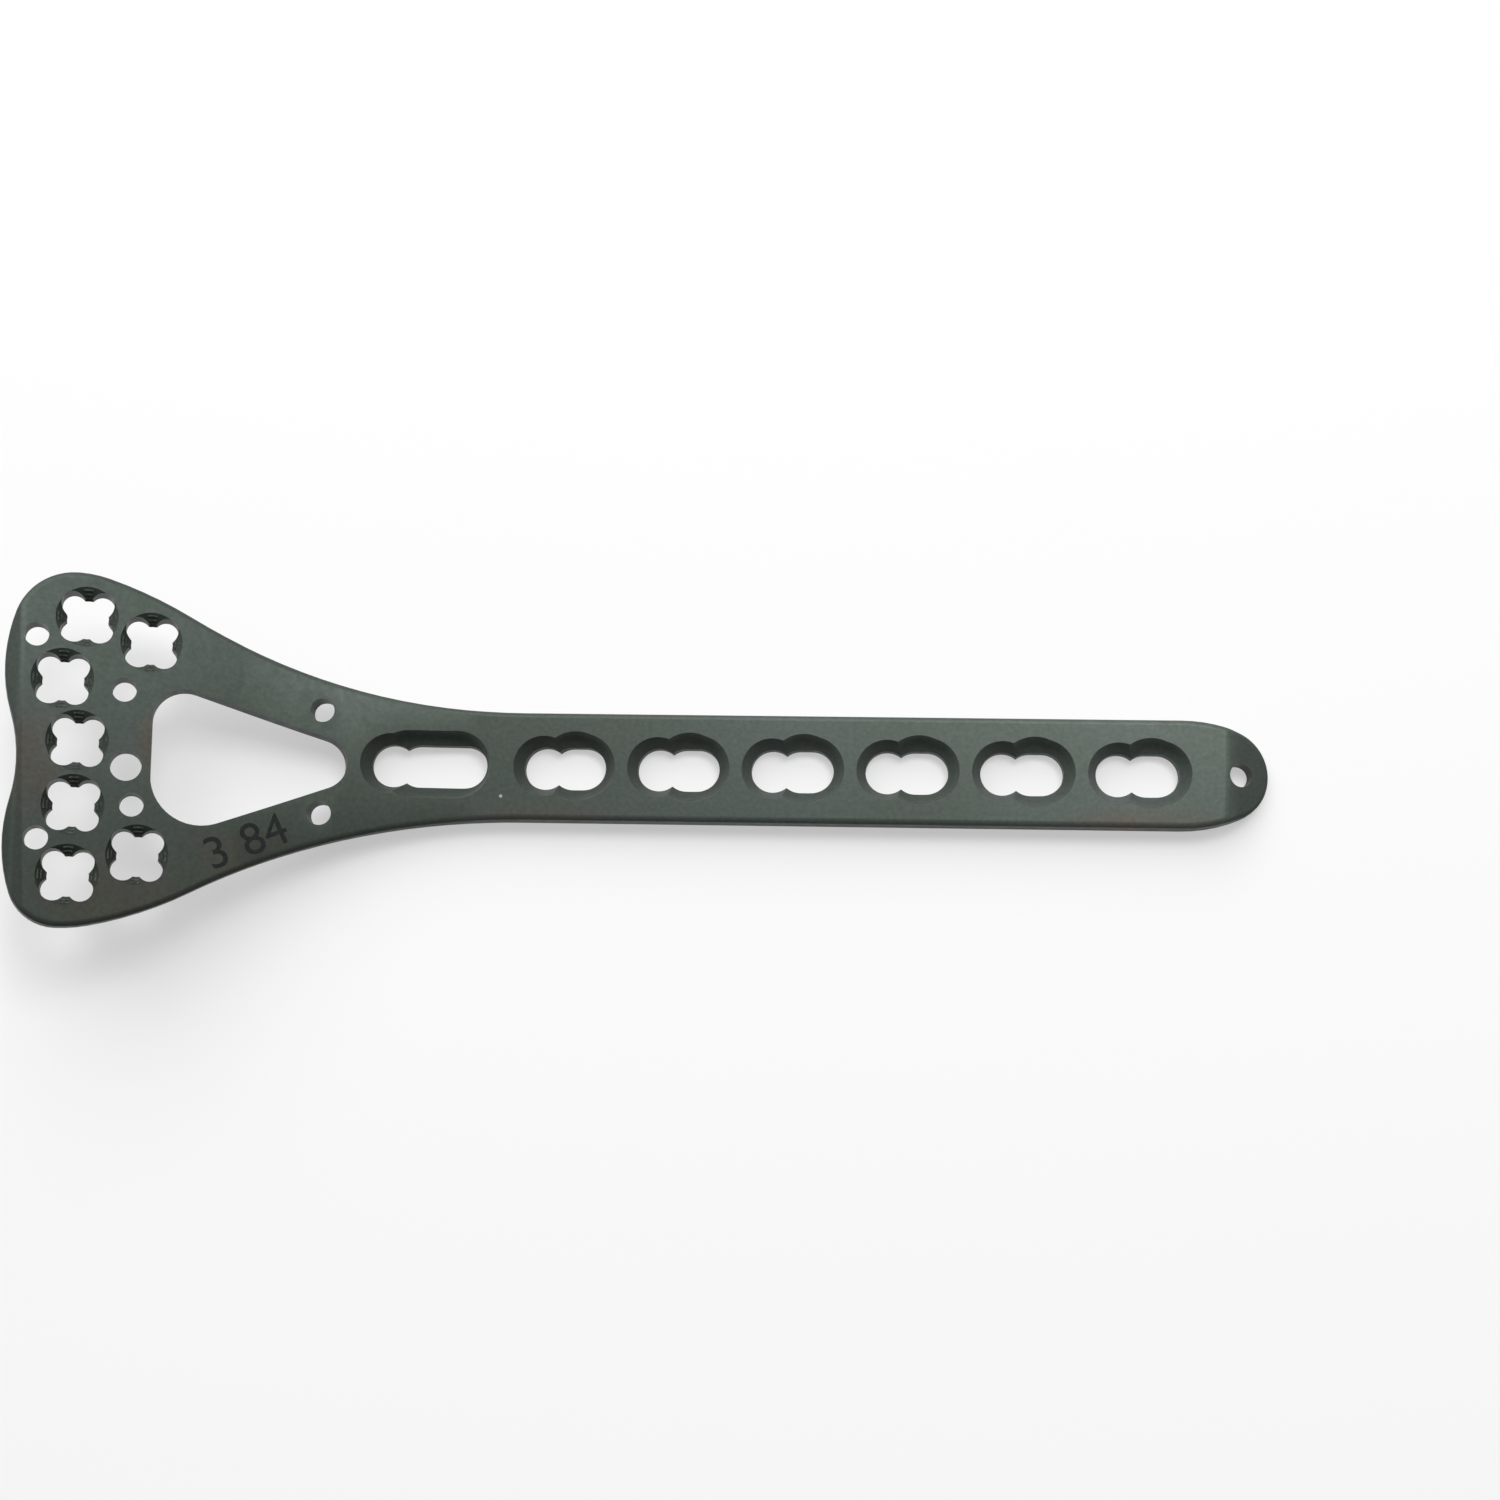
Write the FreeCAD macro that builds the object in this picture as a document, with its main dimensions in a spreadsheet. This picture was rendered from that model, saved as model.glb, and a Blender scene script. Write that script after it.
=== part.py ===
import FreeCAD, Part
import Sketcher
import math
import os

# Orthopedic bone plate in one piece: a flat shaft with slots, bent up into a splayed head.
# Frame: +X runs along the shaft to its tip, +Z is up out of the plate, Z = 0 is the flat underside.
# The origin is on the underside, in the web between the long slot and the first short slot.
# Head sizes are measured in the plane of the head, which is turned about Y by bend_angle,
# and "back" is the distance from the origin towards the head.

V = FreeCAD.Vector
doc = FreeCAD.newDocument("bone_plate")
sheet = doc.addObject("Spreadsheet::Sheet", "sizes")

SIZES = [
    # shaft and bend
    ("shaft_width", 8.5),
    ("shaft_thickness", 2.5),
    ("bend_start_back", 1.0),
    ("bend_radius", 54.25),
    ("bend_angle", 20.5),
    ("bend_top_radius", 53.0),
    ("head_thickness", 2.15),
    # tip
    ("tip_end", 60.05),
    ("tip_side_radius", 11.8),
    ("tip_end_radius", 3.6),
    ("ramp_start", 56.7),
    ("ramp_angle", 24.0),
    ("ramp_blend", 1.5),
    # head outline, side a lies at +Y and side b at -Y
    ("neck_a_radius", 56.0),
    ("shoulder_a_radius", 32.0),
    ("shoulder_a_turn", 12.23),
    ("hip_a_radius", 8.5),
    ("corner_a_radius", 4.7),
    ("half_width_a", 13.6),
    ("lobe_a_back", 26.2),
    ("lobe_a_out", 6.5),
    ("lobe_a_radius", 12.5),
    ("neck_b_radius", 52.0),
    ("shoulder_b_radius", 28.0),
    ("shoulder_b_turn", 16.3),
    ("hip_b_radius", 11.0),
    ("corner_b_radius", 3.75),
    ("half_width_b", 13.85),
    ("lobe_b_back", 25.5),
    ("lobe_b_out", 7.1),
    ("lobe_b_radius", 12.6),
    ("waist_radius", 12.5),
    # bevel along the far edge of the head
    ("bevel_inset", 1.5),
    ("bevel_angle", 32.0),
    ("bevel_skew", 3.5),
    ("bevel_blend", 0.6),
    # rounding of the perimeter
    ("round_top", 0.45),
    ("break_bottom", 0.2),
    # window in the head, a triangle of three rounds joined by straight sides;
    # it and the holes of the head are cut along one direction, leant by head_tool_lean
    ("head_tool_lean", 15.5),
    ("window_a_back", 24.86),
    ("window_a_out", 2.48),
    ("window_a_radius", 2.49),
    ("window_b_back", 23.44),
    ("window_b_out", 1.77),
    ("window_b_radius", 3.85),
    ("window_end_back", 14.38),
    ("window_end_out", 0.17),
    ("window_end_radius", 2.1),
    # locking holes with four threaded columns between four lobes
    ("column_radius", 1.67),
    ("lobe_hole_radius", 0.93),
    ("lobe_hole_offset", 1.05),
    ("recess_radius", 2.36),
    ("recess_angle", 80.0),
    # wire holes
    ("wire_bore", 1.85),
    ("guide_bore", 2.4),
    ("neck_hole_lean", 3.3),
    ("tip_hole_lean", 6.4),
    # short combination slots
    ("slot_pitch", 9.0),
    ("slot_first", 4.9),
    ("slot_count", 6),
    ("throat_radius", 1.7),
    ("throat_end", 1.55),
    ("throat_inner", 0.62),
    ("lock_rim_radius", 2.4),
    ("seat_level", 1.0),
    ("seat_ball_radius", 2.9),
    ("seat_ball_level", 3.3),
    ("seat_ball_offset", 0.95),
    ("glide_ball_radius", 2.72),
    ("glide_ball_level", 3.3),
    ("glide_ball_offset", 1.5),
    # long slot in the neck
    ("long_back", 5.9),
    ("long_lean", 4.5),
    ("long_lock_offset", 2.9),
    ("long_inner_offset", 0.8),
    ("long_outer_offset", 2.85),
    ("long_seat_near", 1.6),
    ("long_seat_far", 2.1),
    ("long_ball_radius", 2.82),
    # blank around the outlines, and where the outline of the head gives way to the shaft's
    ("stock_margin", 8.0),
    ("head_cut_end", 9.0),
    ("shaft_cut_start", 5.0),
    # places of the holes: distance back from the origin, and Y, seen along the direction they are cut in
    ("lock_a_back", 32.66),
    ("lock_a_out", 10.07),
    ("lock_b_back", 27.74),
    ("lock_b_out", 8.44),
    ("lock_c_back", 34.21),
    ("lock_c_out", 5.15),
    ("lock_d_back", 32.85),
    ("lock_d_out", 0.43),
    ("lock_e_back", 32.89),
    ("lock_e_out", -4.55),
    ("lock_f_back", 27.93),
    ("lock_f_out", -8.15),
    ("lock_g_back", 33.00),
    ("lock_g_out", -9.92),
    ("wire_a_back", 36.31),
    ("wire_a_out", 8.46),
    ("wire_b_back", 29.57),
    ("wire_b_out", 4.58),
    ("wire_c_back", 28.57),
    ("wire_c_out", -4.29),
    ("wire_d_back", 35.46),
    ("wire_d_out", -7.19),
    ("guide_back", 29.16),
    ("guide_out", -1.28),
    ("neck_p_back", 14.30),
    ("neck_p_out", 3.99),
    ("neck_q_back", 14.23),
    ("neck_q_out", -4.17),
    ("tip_hole_back", -57.22),
    ("tip_hole_out", 0.0),
]
VALUE = {}
for row, (alias, value) in enumerate(SIZES, 1):
    sheet.set("A%d" % row, alias)
    sheet.set("B%d" % row, str(value))
    sheet.setAlias("B%d" % row, alias)
    VALUE[alias] = float(value)

LOCKING_HOLES = ["lock_a", "lock_b", "lock_c", "lock_d", "lock_e", "lock_f", "lock_g"]
WIRE_HOLES = ["wire_a", "wire_b", "wire_c", "wire_d"]
GUIDE_HOLES = ["guide"]
NECK_HOLES = ["neck_p", "neck_q"]
TIP_HOLES = ["tip_hole"]
doc.recompute()

body = doc.addObject("PartDesign::Body", "BonePlate")
body.Label = "bone_plate"


def plane(role):
    for feature in body.Origin.OriginFeatures:
        if feature.Role == role:
            return feature
    raise RuntimeError("no plane " + role)


def lay(role, x, z, lean, along="0", up="0"):
    # Where a sketch lies: at X = x, Z = z, leant about Y towards +X, then moved in that leant frame.
    px = "(%s) + (%s) * cos(%s) + (%s) * sin(%s)" % (x, along, lean, up, lean)
    pz = "(%s) - (%s) * sin(%s) + (%s) * cos(%s)" % (z, along, lean, up, lean)
    if role == "XY_Plane":
        return place_of(px, "0", pz, [("0; 1; 0", lean)])
    if role == "XZ_Plane":
        return place_of(px, pz, "0", [("0; 0; 1", "-(%s)" % lean)])
    return place_of("0", pz, px, [("1; 0; 0", lean)])


def place_of(px, py, pz, turns):
    turned = " * ".join("create(<<rotation>>; create(<<vector>>; %s); %s)" % turn for turn in turns)
    return "create(<<placement>>; create(<<vector>>; %s; %s; %s); %s)" % (px, py, pz, turned)


def new_sketch(name, role, place=None):
    # A sketch on an origin plane of the body, placed by sheet values.
    sketch = body.newObject("Sketcher::SketchObject", name)
    sketch.AttachmentSupport = (plane(role), [""])
    sketch.MapMode = "FlatFace"
    if place is not None:
        sketch.setExpression("AttachmentOffset", place)
    return sketch


def measure(sketch, kind, where, value, expression):
    # A dimension of the sketch bound to the sheet.
    index = sketch.addConstraint(Sketcher.Constraint(kind, *where, value))
    sketch.setExpression("Constraints[%d]" % index, expression)
    return index


def set_x(sketch, geo, pos, value, expression):
    if value >= 0:
        measure(sketch, "DistanceX", (-1, 1, geo, pos), value, expression)
    else:
        measure(sketch, "DistanceX", (geo, pos, -1, 1), -value, "-(" + expression + ")")


def set_y(sketch, geo, pos, value, expression):
    if value >= 0:
        measure(sketch, "DistanceY", (-1, 1, geo, pos), value, expression)
    else:
        measure(sketch, "DistanceY", (geo, pos, -1, 1), -value, "-(" + expression + ")")


def add_line(sketch, p, q):
    index = sketch.addGeometry(Part.LineSegment(V(p[0], p[1], 0), V(q[0], q[1], 0)), False)
    return (index, 1, 2)


def add_arc(sketch, c, r, p, q, ccw):
    # An arc about c from p to q; the result names the ends in the order p, q.
    a = math.atan2(p[1] - c[1], p[0] - c[0])
    b = math.atan2(q[1] - c[1], q[0] - c[0])
    if not ccw:
        a, b = b, a
    if b <= a:
        b += 2 * math.pi
    index = sketch.addGeometry(Part.ArcOfCircle(Part.Circle(V(c[0], c[1], 0), V(0, 0, 1), r), a, b), False)
    return (index, 1, 2) if ccw else (index, 2, 1)


def join(sketch, first, second, smooth):
    kind = "Tangent" if smooth else "Coincident"
    sketch.addConstraint(Sketcher.Constraint(kind, first[0], first[2], second[0], second[1]))


def between(p, q, k):
    return (p[0] + (q[0] - p[0]) * k, p[1] + (q[1] - p[1]) * k)


def crossings(c0, r0, c1, r1):
    # The two points where two circles cross.
    dx = c1[0] - c0[0]
    dy = c1[1] - c0[1]
    d = math.hypot(dx, dy)
    a = (r0 * r0 - r1 * r1 + d * d) / (2 * d)
    rise = math.sqrt(max(r0 * r0 - a * a, 0.0))
    mx = c0[0] + a * dx / d
    my = c0[1] + a * dy / d
    return (mx - rise * dy / d, my + rise * dx / d), (mx + rise * dy / d, my - rise * dx / d)


def cut_through(name, sketch):
    pocket = body.newObject("PartDesign::Pocket", name)
    pocket.Profile = sketch
    pocket.SideType = "Two sides"
    pocket.Type = "ThroughAll"
    pocket.Type2 = "ThroughAll"
    sketch.Visibility = False
    return finish_cut(pocket)


def finish_cut(feature):
    # A cut that takes nothing away points the wrong way.
    doc.recompute()
    base = feature.BaseFeature.Shape.Volume
    after = feature.Shape.Volume
    print("%-16s %9.3f mm3 taken away" % (feature.Name, base - after))
    if base - after < 0.01:
        raise RuntimeError(feature.Name + " cuts nothing")
    return feature


def turn_cut(name, sketch):
    groove = body.newObject("PartDesign::Groove", name)
    groove.Profile = sketch
    groove.ReferenceAxis = (sketch, ["V_Axis"])
    groove.Angle = 360.0
    sketch.Visibility = False
    return finish_cut(groove)


# Side profile: flat shaft, one long bend, straight head, and a ramp down to the tip.
angle = math.radians(VALUE["bend_angle"])
ramp = math.radians(VALUE["ramp_angle"])
start = -VALUE["bend_start_back"]
thick = VALUE["shaft_thickness"]
radius = VALUE["bend_radius"]
top_radius = VALUE["bend_top_radius"]
over = 1.0
tip = VALUE["tip_end"] + over
low_end = (start - radius * math.sin(angle), radius * (1 - math.cos(angle)))
run = (VALUE["lobe_a_back"] + VALUE["lobe_a_radius"] + 3.0) - 18.0
far_low = (low_end[0] - run * math.cos(angle), low_end[1] + run * math.sin(angle))
lift = (VALUE["head_thickness"] * math.sin(angle), VALUE["head_thickness"] * math.cos(angle))
far_top = (far_low[0] + lift[0], far_low[1] + lift[1])
slide = (low_end[1] + lift[1] - thick) / math.sin(angle)
corner = (low_end[0] + lift[0] + slide * math.cos(angle), thick)
reach = top_radius * math.tan(angle / 2)
top_start = (corner[0] + reach, thick)
top_end = (corner[0] - reach * math.cos(angle), thick + reach * math.sin(angle))
crease = (VALUE["ramp_start"], thick)
tip_top = (tip, thick - (tip - crease[0]) * math.tan(ramp))

side = new_sketch("side_profile", "XZ_Plane")
chain = [
    add_line(side, (tip, 0.0), (start, 0.0)),
    add_arc(side, (start, radius), radius, (start, 0.0), low_end, False),
    add_line(side, low_end, far_low),
    add_line(side, far_low, far_top),
    add_line(side, far_top, top_end),
    add_arc(side, (top_start[0], thick + top_radius), top_radius, top_end, top_start, True),
    add_line(side, top_start, crease),
    add_line(side, crease, tip_top),
    add_line(side, tip_top, (tip, 0.0)),
]
smooth_joins = (0, 1, 4, 5)
for i in range(len(chain)):
    join(side, chain[i], chain[(i + 1) % len(chain)], i in smooth_joins)
side.addConstraint(Sketcher.Constraint("Horizontal", chain[0][0]))
side.addConstraint(Sketcher.Constraint("Horizontal", chain[6][0]))
side.addConstraint(Sketcher.Constraint("Vertical", chain[8][0]))
side.addConstraint(Sketcher.Constraint("Parallel", chain[2][0], chain[4][0]))
side.addConstraint(Sketcher.Constraint("Perpendicular", chain[2][0], chain[3][0]))
side.addConstraint(Sketcher.Constraint("PointOnObject", chain[0][0], 1, -1))
set_x(side, chain[0][0], 2, start, "-sizes.bend_start_back")
set_x(side, chain[0][0], 1, tip, "sizes.tip_end + 1")
measure(side, "Radius", (chain[1][0],), radius, "sizes.bend_radius")
measure(side, "Radius", (chain[5][0],), top_radius, "sizes.bend_top_radius")
measure(side, "Distance", (chain[3][0],), VALUE["head_thickness"], "sizes.head_thickness")
measure(side, "Distance", (chain[2][0],), run, "sizes.lobe_a_back + sizes.lobe_a_radius - 15")
set_y(side, chain[6][0], 1, thick, "sizes.shaft_thickness")
set_x(side, chain[7][0], 1, crease[0], "sizes.ramp_start")
measure(side, "Angle", (chain[7][0],), -ramp, "-sizes.ramp_angle")
measure(side, "Angle", (chain[2][0],), math.pi - angle, "180 - sizes.bend_angle")

plate = body.newObject("PartDesign::Pad", "plate_stock")
plate.Profile = side
plate.SideType = "Symmetric"
plate.setExpression("Length", "2 * (sizes.half_width_a + sizes.half_width_b)")
side.Visibility = False
doc.recompute()
print("side profile", side.solve(), side.FullyConstrained, plate.Shape.BoundBox)


# Head outline, seen along the normal of the head.
def flank(letter, up):
    # The flank of one side: neck, shoulder, hip, corner and lobe, up is +1 at +Y.
    half = VALUE["shaft_width"] / 2
    neck_r = VALUE["neck_%s_radius" % letter]
    shoulder_r = VALUE["shoulder_%s_radius" % letter]
    hip_r = VALUE["hip_%s_radius" % letter]
    corner_r = VALUE["corner_%s_radius" % letter]
    wide = VALUE["half_width_%s" % letter]
    lobe = (-VALUE["lobe_%s_back" % letter], VALUE["lobe_%s_out" % letter])
    lobe_r = VALUE["lobe_%s_radius" % letter]
    rise = wide - corner_r - lobe[1]
    wide_x = lobe[0] - math.sqrt((lobe_r - corner_r) ** 2 - rise ** 2)
    hip = (wide_x, wide - hip_r)
    turn = (wide_x, wide - corner_r)
    # The slopes at the two ends of the shoulder follow from the width and from how far the shoulder turns.
    sweep = math.radians(VALUE["shoulder_%s_turn" % letter])
    inner_r = shoulder_r - hip_r
    p = neck_r + shoulder_r - inner_r * math.cos(sweep)
    q = inner_r * math.sin(sweep)
    steep = math.acos((half + neck_r + hip_r - wide) / math.hypot(p, q)) - math.atan2(q, p)
    shoulder = (hip[0] - inner_r * math.sin(steep - sweep), hip[1] - inner_r * math.cos(steep - sweep))
    neck = (shoulder[0] + (neck_r + shoulder_r) * math.sin(steep), half + neck_r)
    p1 = (neck[0], half)
    p2 = between(neck, shoulder, neck_r / (neck_r + shoulder_r))
    p3 = between(shoulder, hip, shoulder_r / (shoulder_r - hip_r))
    p4 = (wide_x, wide)
    p5 = between(lobe, turn, lobe_r / (lobe_r - corner_r))
    points = [p1, p2, p3, p4, p5]
    centres = [neck, shoulder, hip, turn, lobe]
    radii = [neck_r, shoulder_r, hip_r, corner_r, lobe_r]
    flip = [(x, up * y) for x, y in points]
    return flip, [(x, up * y) for x, y in centres], radii


points_a, centres_a, radii_a = flank("a", 1)
points_b, centres_b, radii_b = flank("b", -1)
waist_r = VALUE["waist_radius"]
lobe_a, lobe_b = centres_a[4], centres_b[4]
lobe_ra, lobe_rb = radii_a[4], radii_b[4]
waist = min(crossings(lobe_a, lobe_ra + waist_r, lobe_b, lobe_rb + waist_r), key=lambda c: c[0])
waist_a = between(lobe_a, waist, lobe_ra / (lobe_ra + waist_r))
waist_b = between(lobe_b, waist, lobe_rb / (lobe_rb + waist_r))
half = VALUE["shaft_width"] / 2
margin = VALUE["stock_margin"]
join_x = VALUE["head_cut_end"]
clear_x = -(VALUE["lobe_a_back"] + VALUE["lobe_a_radius"] + margin)
clear_y = VALUE["half_width_a"] + VALUE["half_width_b"] + margin / 4
CLEAR_Y = "(sizes.half_width_a + sizes.half_width_b + sizes.stock_margin / 4)"

head = new_sketch("head_outline", "XY_Plane", lay("XY_Plane", "0", "0", "sizes.bend_angle"))
chain = [add_line(head, (join_x, half), points_a[0])]
for i in range(4):
    chain.append(add_arc(head, centres_a[i], radii_a[i], points_a[i], points_a[i + 1], i != 0))
chain.append(add_arc(head, lobe_a, lobe_ra, points_a[4], waist_a, True))
chain.append(add_arc(head, waist, waist_r, waist_a, waist_b, False))
chain.append(add_arc(head, lobe_b, lobe_rb, waist_b, points_b[4], True))
for i in (3, 2, 1, 0):
    chain.append(add_arc(head, centres_b[i], radii_b[i], points_b[i + 1], points_b[i], i != 0))
chain.append(add_line(head, points_b[0], (join_x, -half)))
smooth = len(chain) - 1
frame_points = [(join_x, -half), (join_x, -clear_y), (clear_x, -clear_y), (clear_x, clear_y),
                (join_x, clear_y), (join_x, half)]
for i in range(5):
    chain.append(add_line(head, frame_points[i], frame_points[i + 1]))
for i in range(len(chain)):
    join(head, chain[i], chain[(i + 1) % len(chain)], i < smooth)
head.addConstraint(Sketcher.Constraint("Horizontal", chain[0][0]))
head.addConstraint(Sketcher.Constraint("Horizontal", chain[smooth][0]))
set_x(head, chain[0][0], 1, join_x, "sizes.head_cut_end")
set_x(head, chain[smooth][0], 2, join_x, "sizes.head_cut_end")
set_y(head, chain[0][0], 1, half, "sizes.shaft_width / 2")
set_y(head, chain[smooth][0], 2, -half, "-sizes.shaft_width / 2")
measure(head, "Angle", (chain[2][0],), math.radians(VALUE["shoulder_a_turn"]), "sizes.shoulder_a_turn")
measure(head, "Angle", (chain[10][0],), math.radians(VALUE["shoulder_b_turn"]), "sizes.shoulder_b_turn")
for i, word in enumerate(("neck", "shoulder", "hip", "corner", "lobe")):
    measure(head, "Radius", (chain[1 + i][0],), radii_a[i], "sizes.%s_a_radius" % word)
    measure(head, "Radius", (chain[11 - i][0],), radii_b[i], "sizes.%s_b_radius" % word)
measure(head, "Radius", (chain[6][0],), waist_r, "sizes.waist_radius")
set_x(head, chain[5][0], 3, lobe_a[0], "-sizes.lobe_a_back")
set_y(head, chain[5][0], 3, lobe_a[1], "sizes.lobe_a_out")
set_x(head, chain[7][0], 3, lobe_b[0], "-sizes.lobe_b_back")
set_y(head, chain[7][0], 3, lobe_b[1], "-sizes.lobe_b_out")
set_y(head, chain[3][0], chain[3][2], points_a[3][1], "sizes.half_width_a")
set_y(head, chain[9][0], chain[9][1], points_b[3][1], "-sizes.half_width_b")
head.addConstraint(Sketcher.Constraint("Vertical", chain[3][0], 3, chain[4][0], 3))
head.addConstraint(Sketcher.Constraint("Vertical", chain[9][0], 3, chain[8][0], 3))
for i, kind in ((smooth + 1, "Vertical"), (smooth + 2, "Horizontal"), (smooth + 3, "Vertical"),
                (smooth + 4, "Horizontal"), (smooth + 5, "Vertical")):
    head.addConstraint(Sketcher.Constraint(kind, chain[i][0]))
set_x(head, chain[smooth + 2][0], 2, clear_x, "-(sizes.lobe_a_back + sizes.lobe_a_radius + sizes.stock_margin)")
set_y(head, chain[smooth + 2][0], 2, -clear_y, "-" + CLEAR_Y)
set_y(head, chain[smooth + 4][0], 1, clear_y, CLEAR_Y)
doc.recompute()
print("head outline", head.solve(), head.FullyConstrained)
cut_through("head_cut", head)

# Shaft and tip outline, seen along Z.
end_r = VALUE["tip_end_radius"]
side_r = VALUE["tip_side_radius"]
end_centre = (VALUE["tip_end"] - end_r, 0.0)
side_y = half - side_r
side_x = end_centre[0] - math.sqrt((side_r - end_r) ** 2 - side_y ** 2)
meet_a = between((side_x, side_y), end_centre, side_r / (side_r - end_r))
meet_b = (meet_a[0], -meet_a[1])
cut_x = VALUE["shaft_cut_start"]
far_x = VALUE["tip_end"] + margin / 2
shaft = new_sketch("shaft_outline", "XY_Plane")
chain = [
    add_line(shaft, (cut_x, -half), (side_x, -half)),
    add_arc(shaft, (side_x, -side_y), side_r, (side_x, -half), meet_b, True),
    add_arc(shaft, end_centre, end_r, meet_b, meet_a, True),
    add_arc(shaft, (side_x, side_y), side_r, meet_a, (side_x, half), True),
    add_line(shaft, (side_x, half), (cut_x, half)),
    add_line(shaft, (cut_x, half), (cut_x, clear_y)),
    add_line(shaft, (cut_x, clear_y), (far_x, clear_y)),
    add_line(shaft, (far_x, clear_y), (far_x, -clear_y)),
    add_line(shaft, (far_x, -clear_y), (cut_x, -clear_y)),
    add_line(shaft, (cut_x, -clear_y), (cut_x, -half)),
]
for i in range(len(chain)):
    join(shaft, chain[i], chain[(i + 1) % len(chain)], i < 4)
for i, kind in ((0, "Horizontal"), (4, "Horizontal"), (5, "Vertical"), (6, "Horizontal"), (7, "Vertical"),
                (8, "Horizontal"), (9, "Vertical")):
    shaft.addConstraint(Sketcher.Constraint(kind, chain[i][0]))
set_y(shaft, chain[0][0], 1, -half, "-sizes.shaft_width / 2")
set_y(shaft, chain[4][0], 1, half, "sizes.shaft_width / 2")
set_x(shaft, chain[0][0], 1, cut_x, "sizes.shaft_cut_start")
set_x(shaft, chain[4][0], 2, cut_x, "sizes.shaft_cut_start")
measure(shaft, "Radius", (chain[1][0],), side_r, "sizes.tip_side_radius")
measure(shaft, "Radius", (chain[3][0],), side_r, "sizes.tip_side_radius")
measure(shaft, "Radius", (chain[2][0],), end_r, "sizes.tip_end_radius")
set_x(shaft, chain[2][0], 3, end_centre[0], "sizes.tip_end - sizes.tip_end_radius")
shaft.addConstraint(Sketcher.Constraint("PointOnObject", chain[2][0], 3, -1))
set_y(shaft, chain[6][0], 1, clear_y, CLEAR_Y)
set_x(shaft, chain[6][0], 2, far_x, "sizes.tip_end + sizes.stock_margin / 2")
set_y(shaft, chain[8][0], 1, -clear_y, "-" + CLEAR_Y)
doc.recompute()
print("shaft outline", shaft.solve(), shaft.FullyConstrained)
cut_through("shaft_cut", shaft)

# Level of the head's underside and top above the turned XY plane.
HEAD_LOW = ("(sizes.bend_radius * (1 - cos(sizes.bend_angle)) * cos(sizes.bend_angle)"
            " - (sizes.bend_start_back + sizes.bend_radius * sin(sizes.bend_angle)) * sin(sizes.bend_angle))")
HEAD_TOP = "(" + HEAD_LOW + " + sizes.head_thickness)"
HEAD_MID = "(" + HEAD_LOW + " + sizes.head_thickness / 2)"

# Bevel along the far edge of the head: everything above a plane that falls away from the crease.
lean = "sizes.bend_angle"
BEVEL = "(sizes.lobe_a_back + sizes.lobe_a_radius - sizes.bevel_inset)"
bevel_x = "-%s * cos(%s) + %s * sin(%s)" % (BEVEL, lean, HEAD_TOP, lean)
bevel_z = "%s * sin(%s) + %s * cos(%s)" % (BEVEL, lean, HEAD_TOP, lean)
bevel = new_sketch("bevel_profile", "XY_Plane", place_of(bevel_x, "0", bevel_z, [
    ("0; 1; 0", "sizes.bend_angle"), ("0; 0; 1", "sizes.bevel_skew"), ("0; 1; 0", "-sizes.bevel_angle")]))
corners = [(0.0, -clear_y), (0.0, clear_y), (-margin, clear_y), (-margin, -clear_y)]
chain = [add_line(bevel, corners[i], corners[(i + 1) % 4]) for i in range(4)]
for i in range(4):
    join(bevel, chain[i], chain[(i + 1) % 4], False)
    bevel.addConstraint(Sketcher.Constraint("Vertical" if i % 2 == 0 else "Horizontal", chain[i][0]))
bevel.addConstraint(Sketcher.Constraint("PointOnObject", chain[0][0], 1, -2))
set_y(bevel, chain[0][0], 1, -clear_y, "-" + CLEAR_Y)
set_y(bevel, chain[0][0], 2, clear_y, CLEAR_Y)
set_x(bevel, chain[2][0], 1, -margin, "-sizes.stock_margin")
bevel_cut = body.newObject("PartDesign::Pocket", "bevel_cut")
bevel_cut.Profile = bevel
bevel_cut.Reversed = True
bevel_cut.Type = "ThroughAll"
bevel.Visibility = False
finish_cut(bevel_cut)


def edge_normals(shape, edge):
    # The outward normals of the two faces at the middle of an edge.
    middle = edge.valueAt((edge.FirstParameter + edge.LastParameter) / 2)
    found = []
    for face in shape.ancestorsOfType(edge, Part.Face):
        u, v = face.Surface.parameter(middle)
        found.append(face.normalAt(u, v))
    return middle, found


def round_edges(name, value_name, wanted, kind="Fillet", size="Radius"):
    base = body.Tip
    shape = base.Shape
    names = []
    for i, edge in enumerate(shape.Edges):
        middle, normals = edge_normals(shape, edge)
        if len(normals) == 2 and wanted(middle, normals[0], normals[1]):
            names.append("Edge%d" % (i + 1))
    fillet = body.newObject("PartDesign::" + kind, name)
    fillet.Base = (base, names)
    fillet.setExpression(size, "sizes." + value_name)
    doc.recompute()
    print("%-16s %d edges, volume %.3f" % (name, len(names), fillet.Shape.Volume), fillet.State)
    return fillet


def crease_edge(n1, n2):
    return n1.z > 0.85 and n2.z > 0.85 and n1.getAngle(n2) > math.radians(5)


def wall_edge(n1, n2, sign):
    low, high = sorted((sign * n1.z, sign * n2.z))
    return high > 0.85 and abs(low) < 0.5


round_edges("bevel_rounding", "bevel_blend", lambda m, a, b: crease_edge(a, b) and m.x < 0)
round_edges("ramp_rounding", "ramp_blend", lambda m, a, b: crease_edge(a, b) and m.x > 0)
round_edges("top_rounding", "round_top", lambda m, a, b: wall_edge(a, b, 1))
round_edges("under_chamfer", "break_bottom", lambda m, a, b: wall_edge(a, b, -1), "Chamfer", "Size")


# The plane in which the window and the holes of the head are laid out.
HEAD_TOOL = lay("XY_Plane", HEAD_MID + " * sin(sizes.bend_angle)", HEAD_MID + " * cos(sizes.bend_angle)",
                "sizes.head_tool_lean")

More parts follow.
